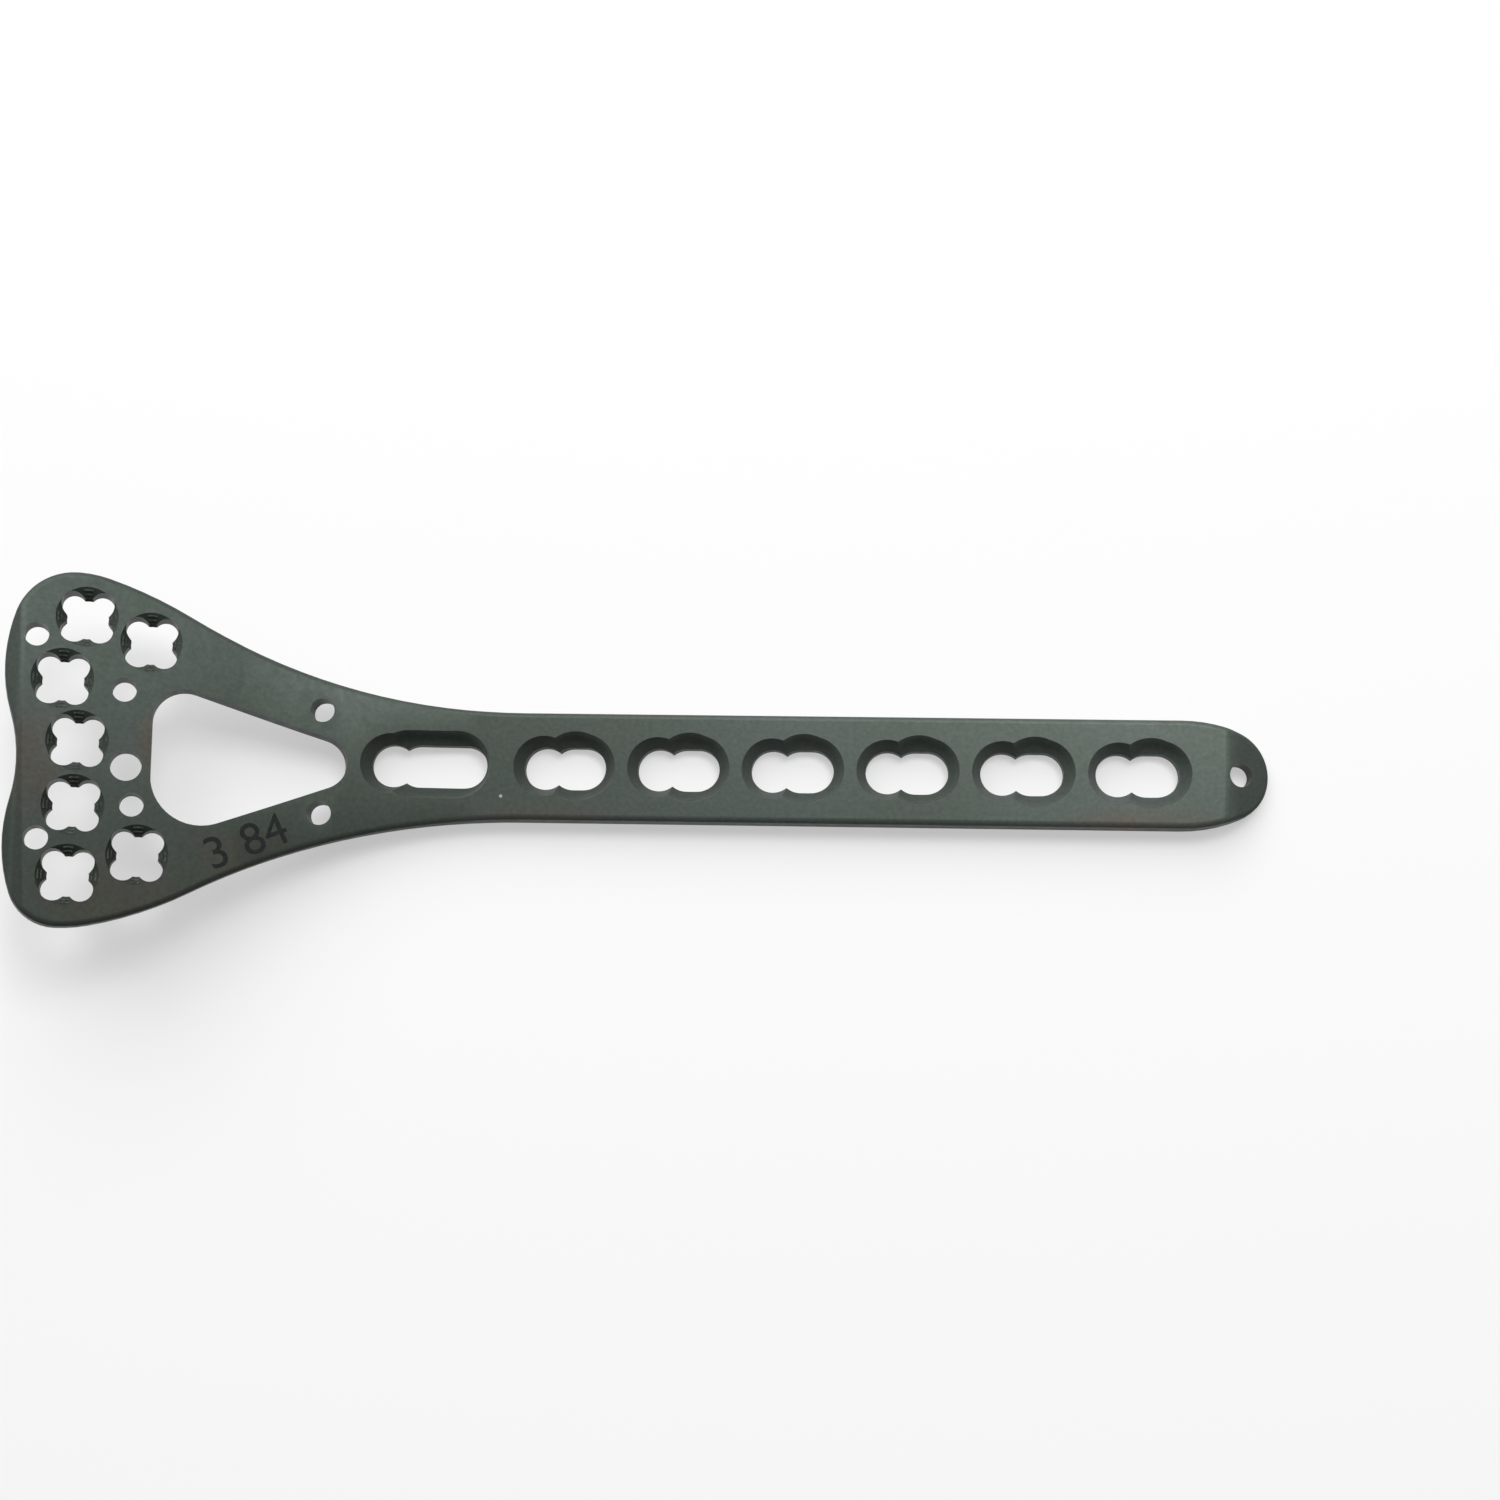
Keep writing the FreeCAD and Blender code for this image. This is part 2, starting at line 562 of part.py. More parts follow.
# Window: three rounds joined by straight sides.
window = new_sketch("window_outline", "XY_Plane", HEAD_TOOL)
rounds = [
    ((-VALUE["window_a_back"], VALUE["window_a_out"]), VALUE["window_a_radius"], "window_a"),
    ((-VALUE["window_b_back"], -VALUE["window_b_out"]), VALUE["window_b_radius"], "window_b"),
    ((-VALUE["window_end_back"], -VALUE["window_end_out"]), VALUE["window_end_radius"], "window_end"),
]
touch = []
for i in range(3):
    (c0, r0, _), (c1, r1, _) = rounds[i], rounds[(i + 1) % 3]
    d = math.hypot(c1[0] - c0[0], c1[1] - c0[1])
    ux, uy = (c1[0] - c0[0]) / d, (c1[1] - c0[1]) / d
    k = (r0 - r1) / d
    side_k = math.sqrt(1 - k * k)
    nx, ny = ux * k + uy * side_k, uy * k - ux * side_k
    touch.append(((c0[0] + r0 * nx, c0[1] + r0 * ny), (c1[0] + r1 * nx, c1[1] + r1 * ny)))
chain = []
for i in range(3):
    centre, r, word = rounds[i]
    chain.append(add_arc(window, centre, r, touch[i - 1][1], touch[i][0], True))
    chain.append(add_line(window, touch[i][0], touch[i][1]))
for i in range(6):
    join(window, chain[i], chain[(i + 1) % 6], True)
for i in range(3):
    centre, r, word = rounds[i]
    measure(window, "Radius", (chain[2 * i][0],), r, "sizes.%s_radius" % word)
    set_x(window, chain[2 * i][0], 3, centre[0], "-sizes.%s_back" % word)
    sign = "" if word == "window_a" else "-"
    set_y(window, chain[2 * i][0], 3, centre[1], sign + "sizes.%s_out" % word)
doc.recompute()
print("window", window.solve(), window.FullyConstrained)
cut_through("window_cut", window)


def spots(sketch, holes, radius, radius_name, dx=0.0, dy=0.0, offset="0"):
    # A circle at every hole, moved by dx, dy times the offset.
    step = VALUE[offset] if offset in VALUE else 0.0
    for name in holes:
        x = -VALUE[name + "_back"] + dx * step
        y = VALUE[name + "_out"] + dy * step
        index = sketch.addGeometry(Part.Circle(V(x, y, 0), V(0, 0, 1), radius), False)
        measure(sketch, "Radius", (index,), radius, radius_name)
        shift_x = " + %g * sizes.%s" % (dx, offset) if step else ""
        shift_y = " + %g * sizes.%s" % (dy, offset) if step else ""
        set_x(sketch, index, 3, x, "-sizes.%s_back%s" % (name, shift_x))
        set_y(sketch, index, 3, y, "sizes.%s_out%s" % (name, shift_y))


# Locking holes: four threaded columns stand between four round lobes under a conical recess.
columns = new_sketch("locking_holes", "XY_Plane", HEAD_TOOL)
spots(columns, LOCKING_HOLES, VALUE["column_radius"], "sizes.column_radius")
cut_through("locking_bores", columns)
lobes = new_sketch("locking_lobes", "XY_Plane", HEAD_TOOL)
for dx, dy in ((1, 1), (-1, 1), (-1, -1), (1, -1)):
    spots(lobes, LOCKING_HOLES, VALUE["lobe_hole_radius"], "sizes.lobe_hole_radius", dx, dy, "lobe_hole_offset")
cut_through("lobe_cuts", lobes)

# The recesses are square to the head, each about the point where its hole comes out on top.
off = math.radians(VALUE["bend_angle"] - VALUE["head_tool_lean"])
OFF = "(sizes.bend_angle - sizes.head_tool_lean)"
HEAD_FACE = lay("XY_Plane", "0", "0", "sizes.bend_angle", "0", HEAD_TOP)
recess = new_sketch("locking_recesses", "XY_Plane", HEAD_FACE)
pilot = VALUE["column_radius"] - 0.2
for name in LOCKING_HOLES:
    x = -VALUE[name + "_back"] / math.cos(off) - VALUE["head_thickness"] / 2 * math.tan(off)
    index = recess.addGeometry(Part.Circle(V(x, VALUE[name + "_out"], 0), V(0, 0, 1), pilot), False)
    measure(recess, "Radius", (index,), pilot, "sizes.column_radius - 0.2")
    set_x(recess, index, 3, x, "-sizes.%s_back / cos%s - sizes.head_thickness / 2 * tan%s" % (name, OFF, OFF))
    set_y(recess, index, 3, VALUE[name + "_out"], "sizes.%s_out" % name)
doc.recompute()
sinks = body.newObject("PartDesign::Hole", "locking_sinks")
sinks.Profile = recess
sinks.DepthType = "Dimension"
sinks.DrillPoint = "Flat"
sinks.ThreadType = "None"
sinks.HoleCutType = "Countersink"
sinks.HoleCutCustomValues = True
sinks.setExpression("Depth", "sizes.head_thickness * 0.7")
sinks.setExpression("Diameter", "2 * sizes.column_radius - 0.4")
sinks.setExpression("HoleCutDiameter", "2 * sizes.recess_radius")
sinks.setExpression("HoleCutCountersinkAngle", "sizes.recess_angle")
recess.Visibility = False
finish_cut(sinks)

# Wire holes in the head, and the wider guide hole.
wires = new_sketch("wire_holes", "XY_Plane", HEAD_TOOL)
spots(wires, WIRE_HOLES, VALUE["wire_bore"] / 2, "sizes.wire_bore / 2")
cut_through("wire_bores", wires)
guide = new_sketch("guide_hole", "XY_Plane", HEAD_TOOL)
spots(guide, GUIDE_HOLES, VALUE["guide_bore"] / 2, "sizes.guide_bore / 2")
cut_through("guide_bore_cut", guide)

# Wire holes in the neck and at the tip, each leant a little towards the tip.
neck_wires = new_sketch("neck_holes", "XY_Plane", lay("XY_Plane", "0", "0", "sizes.neck_hole_lean"))
spots(neck_wires, NECK_HOLES, VALUE["wire_bore"] / 2, "sizes.wire_bore / 2")
cut_through("neck_bores", neck_wires)
tip_wire = new_sketch("tip_holes", "XY_Plane", lay("XY_Plane", "0", "0", "sizes.tip_hole_lean"))
spots(tip_wire, TIP_HOLES, VALUE["wire_bore"] / 2, "sizes.wire_bore / 2")
cut_through("tip_bore", tip_wire)


# Combination slots: a locking round and a compression slot that run into each other.
def throat(name, frame, offsets):
    # The opening that goes right through; offsets are the round's, inner and outer centres.
    r = VALUE["throat_radius"]
    lock, inner, outer = [value for value, _ in offsets]
    cusp_x = (lock + inner) / 2
    cusp_y = math.sqrt(r * r - ((inner - lock) / 2) ** 2)
    up, down = (cusp_x, cusp_y), (cusp_x, -cusp_y)
    sketch = new_sketch(name, "XY_Plane", lay("XY_Plane", *frame))
    loop = [
        add_arc(sketch, (lock, 0.0), r, up, down, True),
        add_arc(sketch, (inner, 0.0), r, down, (inner, -r), True),
        add_line(sketch, (inner, -r), (outer, -r)),
        add_arc(sketch, (outer, 0.0), r, (outer, -r), (outer, r), True),
        add_line(sketch, (outer, r), (inner, r)),
        add_arc(sketch, (inner, 0.0), r, (inner, r), up, True),
    ]
    for k in range(6):
        join(sketch, loop[k], loop[(k + 1) % 6], k not in (0, 5))
    for k in (0, 1, 3, 5):
        measure(sketch, "Radius", (loop[k][0],), r, "sizes.throat_radius")
        sketch.addConstraint(Sketcher.Constraint("PointOnObject", loop[k][0], 3, -1))
    for k, (value, expression) in ((0, offsets[0]), (1, offsets[1]), (3, offsets[2]), (5, offsets[1])):
        set_x(sketch, loop[k][0], 3, value, expression)
    doc.recompute()
    print(name, sketch.solve(), sketch.FullyConstrained)
    return cut_through(name + "_cut", sketch)


def lock_cone(name, frame, offset):
    # The conical seat over the locking round.
    r, rim = VALUE["throat_radius"], VALUE["lock_rim_radius"]
    low, high, above = VALUE["seat_level"], VALUE["shaft_thickness"], VALUE["shaft_thickness"] + 1.5
    out = r + (rim - r) * (above - low) / (high - low)
    sketch = new_sketch(name, "XZ_Plane", lay("XZ_Plane", *frame, offset))
    corners = [(0.0, low), (r, low), (rim, high), (out, above), (0.0, above)]
    loop = [add_line(sketch, corners[k], corners[(k + 1) % 5]) for k in range(5)]
    for k in range(5):
        join(sketch, loop[k], loop[(k + 1) % 5], False)
    sketch.addConstraint(Sketcher.Constraint("Horizontal", loop[0][0]))
    sketch.addConstraint(Sketcher.Constraint("Parallel", loop[1][0], loop[2][0]))
    sketch.addConstraint(Sketcher.Constraint("Horizontal", loop[3][0]))
    sketch.addConstraint(Sketcher.Constraint("Vertical", loop[4][0]))
    sketch.addConstraint(Sketcher.Constraint("PointOnObject", loop[0][0], 1, -2))
    set_y(sketch, loop[0][0], 1, low, "sizes.seat_level")
    set_x(sketch, loop[1][0], 1, r, "sizes.throat_radius")
    set_x(sketch, loop[2][0], 1, rim, "sizes.lock_rim_radius")
    set_y(sketch, loop[2][0], 1, high, "sizes.shaft_thickness")
    set_y(sketch, loop[3][0], 1, above, "sizes.shaft_thickness + 1.5")
    doc.recompute()
    print(name, sketch.solve(), sketch.FullyConstrained)
    return turn_cut(name + "_cut", sketch)


def ball(name, frame, offset, ball_name, level_name):
    # A spherical seat for the head of a screw.
    r, level = VALUE[ball_name], VALUE[level_name]
    sketch = new_sketch(name, "XZ_Plane", lay("XZ_Plane", *frame, offset))
    loop = [
        add_arc(sketch, (0.0, level), r, (0.0, level - r), (r, level), True),
        add_line(sketch, (r, level), (0.0, level)),
        add_line(sketch, (0.0, level), (0.0, level - r)),
    ]
    for k in range(3):
        join(sketch, loop[k], loop[(k + 1) % 3], False)
    sketch.addConstraint(Sketcher.Constraint("Horizontal", loop[1][0]))
    sketch.addConstraint(Sketcher.Constraint("Vertical", loop[2][0]))
    sketch.addConstraint(Sketcher.Constraint("Coincident", loop[0][0], 3, loop[1][0], 2))
    sketch.addConstraint(Sketcher.Constraint("PointOnObject", loop[0][0], 3, -2))
    measure(sketch, "Radius", (loop[0][0],), r, "sizes." + ball_name)
    set_y(sketch, loop[0][0], 3, level, "sizes." + level_name)
    doc.recompute()
    print(name, sketch.solve(), sketch.FullyConstrained)
    return turn_cut(name + "_cut", sketch)


FIRST = ("sizes.slot_first", "0", "0")
end = VALUE["throat_end"]
short_cuts = [
    throat("short_throat", FIRST, ((-end, "-sizes.throat_end"), (VALUE["throat_inner"], "sizes.throat_inner"),
                                   (end, "sizes.throat_end"))),
    lock_cone("short_lock", FIRST, "-sizes.throat_end"),
    ball("short_seat", FIRST, "sizes.seat_ball_offset", "seat_ball_radius", "seat_ball_level"),
    ball("short_glide", FIRST, "sizes.glide_ball_offset", "glide_ball_radius", "glide_ball_level"),
]
row = body.newObject("PartDesign::LinearPattern", "short_slots")
row.Originals = short_cuts
for feature in body.Origin.OriginFeatures:
    if feature.Role == "X_Axis":
        row.Direction = (feature, [""])
row.setExpression("Length", "sizes.slot_pitch * (sizes.slot_count - 1)")
row.setExpression("Occurrences", "sizes.slot_count")
body.Tip = row
doc.recompute()
print("short slots", row.State, row.Shape.Volume)

LONG = ("-sizes.long_back",
        "sizes.bend_radius - sqrt(sizes.bend_radius ^ 2 - (sizes.long_back - sizes.bend_start_back) ^ 2)",
        "sizes.long_lean")
throat("long_throat", LONG, ((-VALUE["long_lock_offset"], "-sizes.long_lock_offset"),
                             (-VALUE["long_inner_offset"], "-sizes.long_inner_offset"),
                             (VALUE["long_outer_offset"], "sizes.long_outer_offset")))
lock_cone("long_lock", LONG, "-sizes.long_lock_offset")
ball("long_near", LONG, "-sizes.long_seat_near", "long_ball_radius", "seat_ball_level")
ball("long_far", LONG, "sizes.long_seat_far", "long_ball_radius", "seat_ball_level")
channel = new_sketch("long_channel", "YZ_Plane", lay("YZ_Plane", *LONG, "sizes.long_seat_far"))
r, level = VALUE["long_ball_radius"], VALUE["seat_ball_level"]
loop = [add_arc(channel, (0.0, level), r, (-r, level), (r, level), True),
        add_line(channel, (r, level), (-r, level))]
join(channel, loop[0], loop[1], False)
join(channel, loop[1], loop[0], False)
channel.addConstraint(Sketcher.Constraint("Horizontal", loop[1][0]))
channel.addConstraint(Sketcher.Constraint("PointOnObject", loop[0][0], 3, loop[1][0]))
channel.addConstraint(Sketcher.Constraint("PointOnObject", loop[0][0], 3, -2))
measure(channel, "Radius", (loop[0][0],), r, "sizes.long_ball_radius")
set_y(channel, loop[0][0], 3, level, "sizes.seat_ball_level")
channel_cut = body.newObject("PartDesign::Pocket", "long_channel_cut")
channel_cut.Profile = channel
channel_cut.setExpression("Length", "sizes.long_seat_near + sizes.long_seat_far")
channel.Visibility = False
finish_cut(channel_cut)

# Checks before anything is written.
doc.recompute()
for item in doc.Objects:
    if "Invalid" in item.State or "Error" in item.State:
        raise RuntimeError("%s failed: %s" % (item.Name, item.State))
shape = body.Shape
if shape.isNull() or not shape.isValid() or len(shape.Solids) != 1:
    raise RuntimeError("the plate is not one valid solid")
print("solids", len(shape.Solids), "faces", len(shape.Faces), "volume %.2f mm3" % shape.Volume,
      "mass centre", shape.Solids[0].CenterOfMass)
os.makedirs("parts", exist_ok=True)
shape.exportStep("parts/%s.step" % body.Label)
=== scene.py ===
import math

import bmesh
import bpy
from mathutils import Matrix, Vector


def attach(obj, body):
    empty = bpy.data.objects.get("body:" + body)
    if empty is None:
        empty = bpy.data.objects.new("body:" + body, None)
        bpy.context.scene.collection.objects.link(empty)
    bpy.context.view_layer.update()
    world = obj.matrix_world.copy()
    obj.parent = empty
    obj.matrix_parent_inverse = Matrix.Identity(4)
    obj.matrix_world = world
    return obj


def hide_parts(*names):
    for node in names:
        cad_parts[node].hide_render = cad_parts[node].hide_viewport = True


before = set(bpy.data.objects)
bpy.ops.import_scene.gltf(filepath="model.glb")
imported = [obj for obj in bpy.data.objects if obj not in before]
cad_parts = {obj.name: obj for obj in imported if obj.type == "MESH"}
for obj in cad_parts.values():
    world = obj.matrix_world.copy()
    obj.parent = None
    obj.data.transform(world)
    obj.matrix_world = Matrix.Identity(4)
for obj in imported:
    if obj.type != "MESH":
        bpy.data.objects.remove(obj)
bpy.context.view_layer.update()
print("stage: frame loaded")

scene = bpy.context.scene


def mm(value):
    return value / 1000.0


weldGap = mm(0.0005)  # points that lie closer together are one point


def srgb(code):
    # A colour written as sRGB hex, as the linear values a shader takes.
    parts = [int(code[i:i + 2], 16) / 255.0 for i in (1, 3, 5)]
    linear = [p / 12.92 if p <= 0.04045 else ((p + 0.055) / 1.055) ** 2.4 for p in parts]
    return (linear[0], linear[1], linear[2], 1.0)


def addNode(tree, kind, where, settings=None, links=None):
    # Settings go to the node's own properties, or else to its sockets by name or number.
    node = tree.nodes.new(kind)
    node.location = where
    for name, value in (settings or {}).items():
        if isinstance(name, str) and hasattr(node, name):
            setattr(node, name, value)
        else:
            node.inputs[name].default_value = value
    for name, output in (links or {}).items():
        tree.links.new(output, node.inputs[name])
    return node


def newMaterial(name):
    material = bpy.data.materials.new(name)
    material.use_nodes = True
    tree = material.node_tree
    tree.nodes.clear()
    return material, tree


def addObject(name, data):
    made = bpy.data.objects.new(name, data)
    scene.collection.objects.link(made)
    return made


def evaluatedMesh(holder):
    # What the object's modifier or text makes, as a plain mesh. The object itself goes.
    bpy.context.view_layer.update()
    graph = bpy.context.evaluated_depsgraph_get()
    mesh = bpy.data.meshes.new_from_object(holder.evaluated_get(graph))
    bpy.data.objects.remove(holder)
    return mesh


def weldedMesh(name, parts):
    # The parts as one mesh, with what touches merged and the faces turned outwards.
    work = bmesh.new()
    for part in parts:
        work.from_mesh(part)
        bpy.data.meshes.remove(part)
    bmesh.ops.remove_doubles(work, verts=work.verts, dist=weldGap)
    bmesh.ops.recalc_face_normals(work, faces=work.faces)
    mesh = bpy.data.meshes.new(name)
    work.to_mesh(mesh)
    work.free()
    return mesh


# Titanium alloy, tumbled and then anodised a dull grey green. The satin skin gives one broad soft
# highlight, faint brown clouds where the oxide is thicker, and a fine grain from the tumbling stones. The
# colour also carries painted highlight towards the tip and the far edge, and painted shade over the head,
# the near edge and the tip's ramp.
# Sizes are in millimetres, and each range is the stretch of a noise that runs from none to full.
plateFinish = dict(
    base="#4a514b", cool="#4d5450", brown="#554d46",
    metallic=0.20, specular=0.14, edgeTint="#3c3c3c",
    coolSize=14.0, coolRange=(0.42, 0.62),
    cloudSize=7.0, cloudRange=(0.35, 0.62), cloudFloor=0.25,
    grainSize=0.35, grainRange=(0.35, 0.65), grainLevels=(0.90, 1.06),
    dullSize=0.8, dullRange=(0.3, 0.7), roughness=(0.34, 0.43),
    pitSize=0.12, pitDepth=0.01, pitStrength=0.12,
    # Brown stains: centre x and y, half width and half height, and how strong. The rim is where one starts
    # and ends to fade, as a share of its half size.
    stains=((-28.0, -10.5, 7.0, 3.2, 0.9), (-25.6, 0.2, 2.2, 3.2, 1.0), (-34.6, -1.6, 3.0, 4.5, 0.7),
            (-19.5, -8.0, 5.0, 2.4, 0.7), (50.5, -4.0, 7.0, 1.6, 0.8), (2.0, -3.9, 9.0, 1.4, 0.35)),
    stainRim=(0.25, 1.25),
    # A painted highlight along the crease where the head turns down to its end: place along x, half width,
    # lift.
    creaseAt=-35.75, creaseWidth=0.35, creaseHighlight=1.22,
    # Painted highlight and shade: darker over the head, along the near edge and on the ramp of the tip,
    # lighter towards the tip and the far edge. Each is an axis, where the change starts and ends along it,
    # and the level at each end.
    paintedLight=(("X", -18.0, 52.0, 0.74, 1.16), ("Y", -7.0, 8.0, 0.87, 1.25), ("X", 56.6, 57.8, 1.0, 0.70)),
    # A small chip that shows bare metal: its middle, half sizes, the rim as for a stain, and its colour.
    chipAt=(0.04, -2.44, 2.5), chipSize=(0.16, 0.16, 0.5), chipRim=(0.5, 1.0), chipColour="#9aa09a",
)


def stainMask(tree, place, finish):
    # The stains, each with its rim broken up by a coarse noise.
    breakUp = addNode(tree, "ShaderNodeTexNoise", (-1400, 0),
                      {"Scale": 1.0 / mm(finish["cloudSize"]), "Detail": 3.0}, {"Vector": place})
    cloud = addNode(tree, "ShaderNodeMapRange", (-1200, 0),
                    {"From Min": finish["cloudRange"][0], "From Max": finish["cloudRange"][1],
                     "To Min": finish["cloudFloor"]}, {"Value": breakUp.outputs["Fac"]})
    stain = None
    for index, (x, y, halfWidth, halfHeight, strength) in enumerate(finish["stains"]):
        row = -300 - 200 * index
        local = addNode(tree, "ShaderNodeMapping", (-1600, row),
                        {"vector_type": "TEXTURE", "Location": (mm(x), mm(y), 0.0),
                         "Scale": (mm(halfWidth), mm(halfHeight), 1.0)}, {"Vector": place})
        away = addNode(tree, "ShaderNodeVectorMath", (-1400, row), {"operation": "LENGTH"},
                       {0: local.outputs["Vector"]})
        spot = addNode(tree, "ShaderNodeMapRange", (-1200, row),
                       {"interpolation_type": "SMOOTHSTEP", "From Min": finish["stainRim"][0],
                        "From Max": finish["stainRim"][1], "To Min": strength, "To Max": 0.0},
                       {"Value": away.outputs["Value"]}).outputs["Result"]
        if stain is None:
            stain = spot
        else:
            stain = addNode(tree, "ShaderNodeMath", (-1000, row), {"operation": "MAXIMUM"},
                            {0: stain, 1: spot}).outputs["Value"]
    return addNode(tree, "ShaderNodeMath", (-800, -300), {"operation": "MULTIPLY"},
                   {0: stain, 1: cloud.outputs["Result"]}).outputs["Value"]


def grainAndPaintedLight(tree, place, finish):
    # How light the skin stands: painted shade and highlight along the plate, across it and on the tip's
    # ramp, a painted highlight along the crease, and the tumbled grain.
    axes = addNode(tree, "ShaderNodeSeparateXYZ", (-1600, 900), links={0: place})
    levels = []
    # Painted shade and highlight: darker over the head, along the near edge and on the tip's ramp, lighter
    # towards the tip and far edge.
    for index, (axis, start, end, startLevel, endLevel) in enumerate(finish["paintedLight"]):
        levels.append(addNode(tree, "ShaderNodeMapRange", (-1000, 1100 + 200 * index),
                              {"From Min": mm(start), "From Max": mm(end), "To Min": startLevel,
                               "To Max": endLevel}, {"Value": axes.outputs[axis]}))
    # A painted highlight along the crease where the head turns down.
    offCrease = addNode(tree, "ShaderNodeMath", (-1400, 900),
                        {"operation": "SUBTRACT", 1: mm(finish["creaseAt"])}, {0: axes.outputs["X"]})
    nearCrease = addNode(tree, "ShaderNodeMath", (-1200, 900), {"operation": "ABSOLUTE"},
                         {0: offCrease.outputs["Value"]})
    levels.append(addNode(tree, "ShaderNodeMapRange", (-1000, 900),
                          {"interpolation_type": "SMOOTHSTEP", "From Min": 0.0,
                           "From Max": mm(finish["creaseWidth"]), "To Min": finish["creaseHighlight"],
                           "To Max": 1.0}, {"Value": nearCrease.outputs["Value"]}))
    # The real grit of the tumbling is finer, and is drawn coarser so that it shows.
    grain = addNode(tree, "ShaderNodeTexNoise", (-1200, 600),
                    {"Scale": 1.0 / mm(finish["grainSize"]), "Detail": 3.0, "Roughness": 0.6},
                    {"Vector": place})
    levels.append(addNode(tree, "ShaderNodeMapRange", (-1000, 600),
                          {"From Min": finish["grainRange"][0], "From Max": finish["grainRange"][1],
                           "To Min": finish["grainLevels"][0], "To Max": finish["grainLevels"][1]},
                          {"Value": grain.outputs["Fac"]}))
    tone = levels[0].outputs["Result"]
    for index, level in enumerate(levels[1:]):
        tone = addNode(tree, "ShaderNodeMath", (200 * index - 800, 900), {"operation": "MULTIPLY"},
                       {0: tone, 1: level.outputs["Result"]}).outputs["Value"]
    return tone


def chipMask(tree, place, finish):
    local = addNode(tree, "ShaderNodeMapping", (-1600, -2300),
                    {"vector_type": "TEXTURE", "Location": tuple(mm(value) for value in finish["chipAt"]),
                     "Scale": tuple(mm(value) for value in finish["chipSize"])}, {"Vector": place})
    away = addNode(tree, "ShaderNodeVectorMath", (-1400, -2300), {"operation": "LENGTH"},
                   {0: local.outputs["Vector"]})
    return addNode(tree, "ShaderNodeMapRange", (-1200, -2300),
                   {"From Min": finish["chipRim"][0], "From Max": finish["chipRim"][1],
                    "To Min": 1.0, "To Max": 0.0}, {"Value": away.outputs["Value"]}).outputs["Result"]


def titaniumMaterial(finish):
    material, tree = newMaterial("titanium_anodised_satin")
    place = addNode(tree, "ShaderNodeTexCoord", (-1800, 0)).outputs["Object"]
    # Broad patches, a centimetre and more across, lean from green to a cooler grey.
    coolNoise = addNode(tree, "ShaderNodeTexNoise", (-1400, 300),
                        {"Scale": 1.0 / mm(finish["coolSize"]), "Detail": 1.0}, {"Vector": place})
    coolMask = addNode(tree, "ShaderNodeMapRange", (-1200, 300),
                       {"From Min": finish["coolRange"][0], "From Max": finish["coolRange"][1]},
                       {"Value": coolNoise.outputs["Fac"]})
    clean = addNode(tree, "ShaderNodeMix", (-600, 300),
                    {"data_type": "RGBA", 6: srgb(finish["base"]), 7: srgb(finish["cool"])},
                    {0: coolMask.outputs["Result"]})
    stained = addNode(tree, "ShaderNodeMix", (-400, 300), {"data_type": "RGBA", 7: srgb(finish["brown"])},
                      {0: stainMask(tree, place, finish), 6: clean.outputs[2]})
    # The colour is scaled by painted highlight and shade and by the tumbled grain.
    toned = addNode(tree, "ShaderNodeVectorMath", (-200, 300), {"operation": "SCALE"},
                    {0: stained.outputs[2], "Scale": grainAndPaintedLight(tree, place, finish)})
    colour = addNode(tree, "ShaderNodeMix", (0, 300), {"data_type": "RGBA", 7: srgb(finish["chipColour"])},
                     {0: chipMask(tree, place, finish), 6: toned.outputs["Vector"]})
    # The skin is a little duller in one patch and shinier in the next, with pits too fine to see singly.
    dull = addNode(tree, "ShaderNodeTexNoise", (-1400, -1700),
                   {"Scale": 1.0 / mm(finish["dullSize"]), "Detail": 2.0}, {"Vector": place})
    roughness = addNode(tree, "ShaderNodeMapRange", (-1200, -1700),
                        {"From Min": finish["dullRange"][0], "From Max": finish["dullRange"][1],
                         "To Min": finish["roughness"][0], "To Max": finish["roughness"][1]},
                        {"Value": dull.outputs["Fac"]})
    pits = addNode(tree, "ShaderNodeTexNoise", (-1400, -2000),
                   {"Scale": 1.0 / mm(finish["pitSize"]), "Detail": 2.0}, {"Vector": place})
    bump = addNode(tree, "ShaderNodeBump", (-200, -400),
                   {"Strength": finish["pitStrength"], "Distance": mm(finish["pitDepth"])},
                   {"Height": pits.outputs["Fac"]})
    shader = addNode(tree, "ShaderNodeBsdfPrincipled", (200, 0),
                     {"Metallic": finish["metallic"], "Specular IOR Level": finish["specular"],
                      "Specular Tint": srgb(finish["edgeTint"])},
                     {"Base Color": colour.outputs[2], "Roughness": roughness.outputs["Result"],
                      "Normal": bump.outputs["Normal"]})
    addNode(tree, "ShaderNodeOutputMaterial", (500, 0), links={"Surface": shader.outputs["BSDF"]})
    return material


# Titanium as the thread mill leaves it under the oxide: duller than the tumbled faces, and darker, the
# darkness partly painted shade for the hollows of the holes, with the marks of the mill as a fine mottle.
threadFinishAndShade = dict(dark="#2b312b", pale="#4a524a", grainSize=0.25, grainRange=(0.35, 0.65),
                    metallic=0.10, roughness=0.50, specular=0.08)

# Laser mark: the beam burns the oxide to a darker, duller skin, a little uneven like soot.
markFinish = dict(dark="#131716", pale="#1c211f", grainSize=0.20, grainRange=(0.35, 0.65),
                  metallic=0.10, roughness=0.60, specular=0.10)


